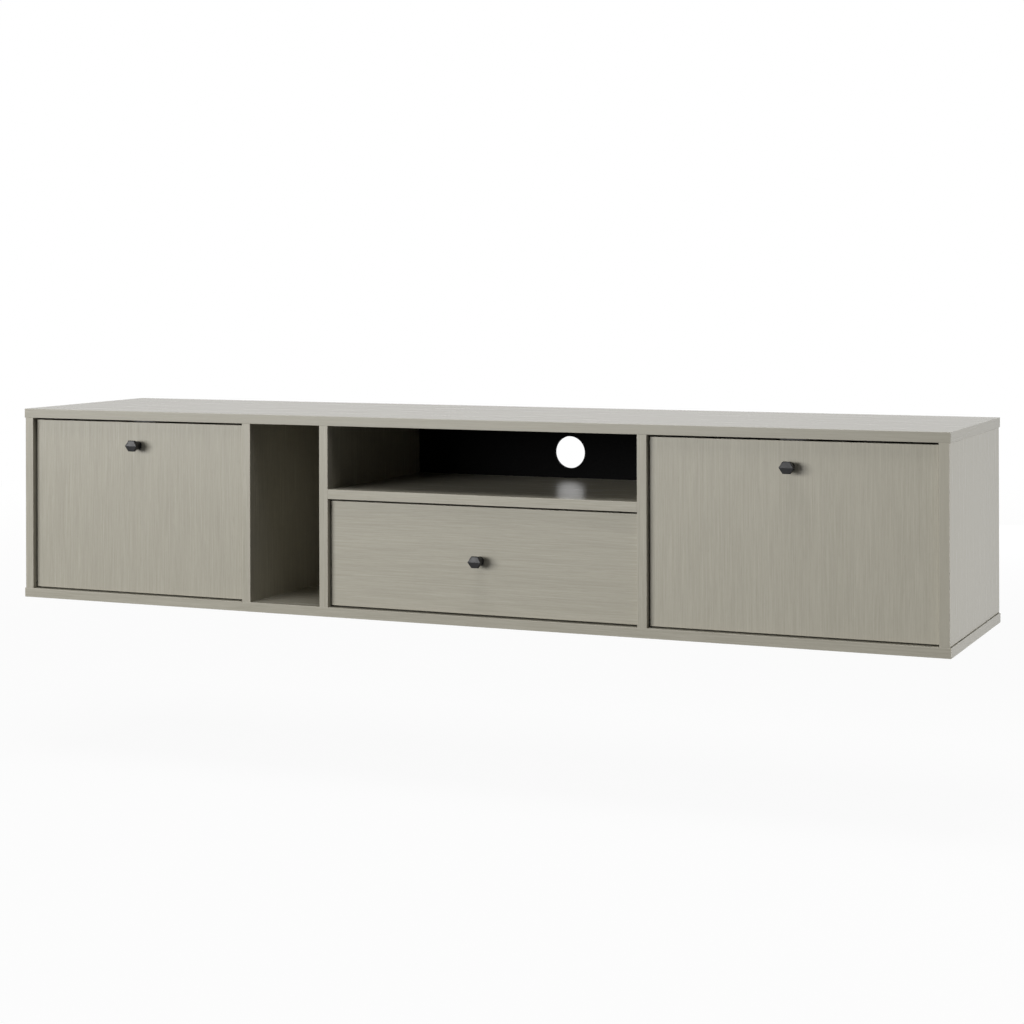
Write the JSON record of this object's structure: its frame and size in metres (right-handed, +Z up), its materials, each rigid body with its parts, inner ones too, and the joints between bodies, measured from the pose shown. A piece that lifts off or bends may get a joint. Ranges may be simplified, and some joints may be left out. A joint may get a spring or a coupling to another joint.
{
  "type": "floating media console",
  "caption": "Wall-hung media console with drop-down flaps, a drawer below an open shelf niche, a narrow open niche and hexagonal knobs.",
  "frame": {"origin": "on the wall plane, at the middle of the console's lower rear edge", "axes": "+X to the viewer's right along the width, +Y into the wall, +Z up; the fronts face -Y"},
  "size_m": [1.764, 0.415, 0.357],
  "materials": {
    "oak_veneer": "grey-green stained oak veneer, satin lacquer",
    "black_board": "black laminate, matt",
    "plain_timber": "unfinished beech and spruce",
    "drawer_board": "grey laminated board, satin",
    "black_metal": "black powder coat, satin",
    "bright_steel": "bright zinc plated",
    "zinc_steel": "galvanised sheet",
    "cast_zinc": "die-cast zinc, dull",
    "dark_plastic": "moulded nylon, fine grain"
  },
  "bodies": {
    "cabinet": {"top_panel": "oak_veneer", "bottom_panel": "oak_veneer", "centre_shelf": "oak_veneer", "back_panel": "black_board", "back_panel_screws": "bright_steel", "hanging_batten": "plain_timber", "carcass_rails": "zinc_steel", "wall_rails": "zinc_steel", "left_side_panel": "oak_veneer", "left_divider": "oak_veneer", "niche_divider": "oak_veneer", "right_divider": "oak_veneer", "right_side_panel": "oak_veneer", "cam_locks": "cast_zinc", "cam_bolts": "bright_steel", "carcass_dowels": "plain_timber", "flap_pivot_bushes": "dark_plastic", "brake_mounts": "zinc_steel", "magnetic_catches": "dark_plastic", "left_runner_carcass_member": "zinc_steel", "right_runner_carcass_member": "zinc_steel", "fitting_screws": "bright_steel"},
    "left_flap": {"left_flap_panel": "oak_veneer", "left_flap_knob": "black_metal", "left_flap_knob_screw": "bright_steel", "left_flap_pivot_pins": "bright_steel", "left_stay_bracket": "zinc_steel", "left_stay_bracket_screws": "bright_steel", "left_strike_plate": "bright_steel"},
    "right_flap": {"right_flap_panel": "oak_veneer", "right_flap_knob": "black_metal", "right_flap_knob_screw": "bright_steel", "right_flap_pivot_pins": "bright_steel", "right_stay_bracket": "zinc_steel", "right_stay_bracket_screws": "bright_steel", "right_strike_plate": "bright_steel"},
    "left_stay_rod": {"left_stay_rod": "bright_steel"},
    "right_stay_rod": {"right_stay_rod": "bright_steel"},
    "left_stay_brake": {"left_stay_brake": "dark_plastic"},
    "right_stay_brake": {"right_stay_brake": "dark_plastic"},
    "drawer": {"drawer_front": "oak_veneer", "drawer_knob": "black_metal", "drawer_knob_screw": "bright_steel", "drawer_front_screws": "bright_steel", "drawer_box_front": "drawer_board", "drawer_box_back": "drawer_board", "drawer_box_left_side": "drawer_board", "drawer_box_right_side": "drawer_board", "drawer_bottom": "drawer_board", "drawer_box_dowels": "plain_timber", "runner_drawer_screws": "bright_steel", "left_runner_drawer_member": "zinc_steel", "right_runner_drawer_member": "zinc_steel"},
    "left_runner_middle": {"left_runner_middle_member": "zinc_steel"},
    "right_runner_middle": {"right_runner_middle_member": "zinc_steel"},
    "left_outer_cage": {"left_runner_outer_cage": "zinc_steel"},
    "right_outer_cage": {"right_runner_outer_cage": "zinc_steel"},
    "left_inner_cage": {"left_runner_inner_cage": "zinc_steel"},
    "right_inner_cage": {"right_runner_inner_cage": "zinc_steel"}
  },
  "joints": [
    {"name": "left_flap_hinge", "type": "hinge", "parent": "cabinet", "child": "left_flap", "pos_m": [-0.6345, -0.385, 0.0255], "axis": [1, 0, 0], "range_deg": [0, 90]},
    {"name": "left_rod_pivot", "type": "hinge", "parent": "left_flap", "child": "left_stay_rod", "pos_m": [-0.849, -0.364, 0.2055], "axis": [1, 0, 0], "range_deg": [-45, 0]},
    {"name": "left_brake_swivel", "type": "hinge", "parent": "cabinet", "child": "left_stay_brake", "pos_m": [-0.849, -0.25686, 0.15364], "axis": [1, 0, 0], "range_deg": [0, 45]},
    {"name": "right_flap_hinge", "type": "hinge", "parent": "cabinet", "child": "right_flap", "pos_m": [0.618, -0.385, 0.0255], "axis": [1, 0, 0], "range_deg": [0, 90]},
    {"name": "right_rod_pivot", "type": "hinge", "parent": "right_flap", "child": "right_stay_rod", "pos_m": [0.849, -0.364, 0.2055], "axis": [1, 0, 0], "range_deg": [-45, 0]},
    {"name": "right_brake_swivel", "type": "hinge", "parent": "cabinet", "child": "right_stay_brake", "pos_m": [0.849, -0.25686, 0.15364], "axis": [1, 0, 0], "range_deg": [0, 45]},
    {"name": "drawer_slide", "type": "slide", "parent": "cabinet", "child": "drawer", "axis": [0, -1, 0], "range_m": [0, 0.3]},
    {"name": "left_outer_cage_slide", "type": "slide", "parent": "cabinet", "child": "left_outer_cage", "axis": [0, -1, 0], "range_m": [0, 0.075]},
    {"name": "left_runner_middle_slide", "type": "slide", "parent": "cabinet", "child": "left_runner_middle", "axis": [0, -1, 0], "range_m": [0, 0.15]},
    {"name": "left_inner_cage_slide", "type": "slide", "parent": "cabinet", "child": "left_inner_cage", "axis": [0, -1, 0], "range_m": [0, 0.225]},
    {"name": "right_outer_cage_slide", "type": "slide", "parent": "cabinet", "child": "right_outer_cage", "axis": [0, -1, 0], "range_m": [0, 0.075]},
    {"name": "right_runner_middle_slide", "type": "slide", "parent": "cabinet", "child": "right_runner_middle", "axis": [0, -1, 0], "range_m": [0, 0.15]},
    {"name": "right_inner_cage_slide", "type": "slide", "parent": "cabinet", "child": "right_inner_cage", "axis": [0, -1, 0], "range_m": [0, 0.225]}
  ],
  "couplings": [
    {"joint": "left_rod_pivot", "follows": "left_flap_hinge", "ratio": -0.5},
    {"joint": "left_brake_swivel", "follows": "left_flap_hinge", "ratio": 0.5},
    {"joint": "right_rod_pivot", "follows": "right_flap_hinge", "ratio": -0.5},
    {"joint": "right_brake_swivel", "follows": "right_flap_hinge", "ratio": 0.5},
    {"joint": "left_outer_cage_slide", "follows": "drawer_slide", "ratio": 0.25},
    {"joint": "left_runner_middle_slide", "follows": "drawer_slide", "ratio": 0.5},
    {"joint": "left_inner_cage_slide", "follows": "drawer_slide", "ratio": 0.75},
    {"joint": "right_outer_cage_slide", "follows": "drawer_slide", "ratio": 0.25},
    {"joint": "right_runner_middle_slide", "follows": "drawer_slide", "ratio": 0.5},
    {"joint": "right_inner_cage_slide", "follows": "drawer_slide", "ratio": 0.75}
  ]
}
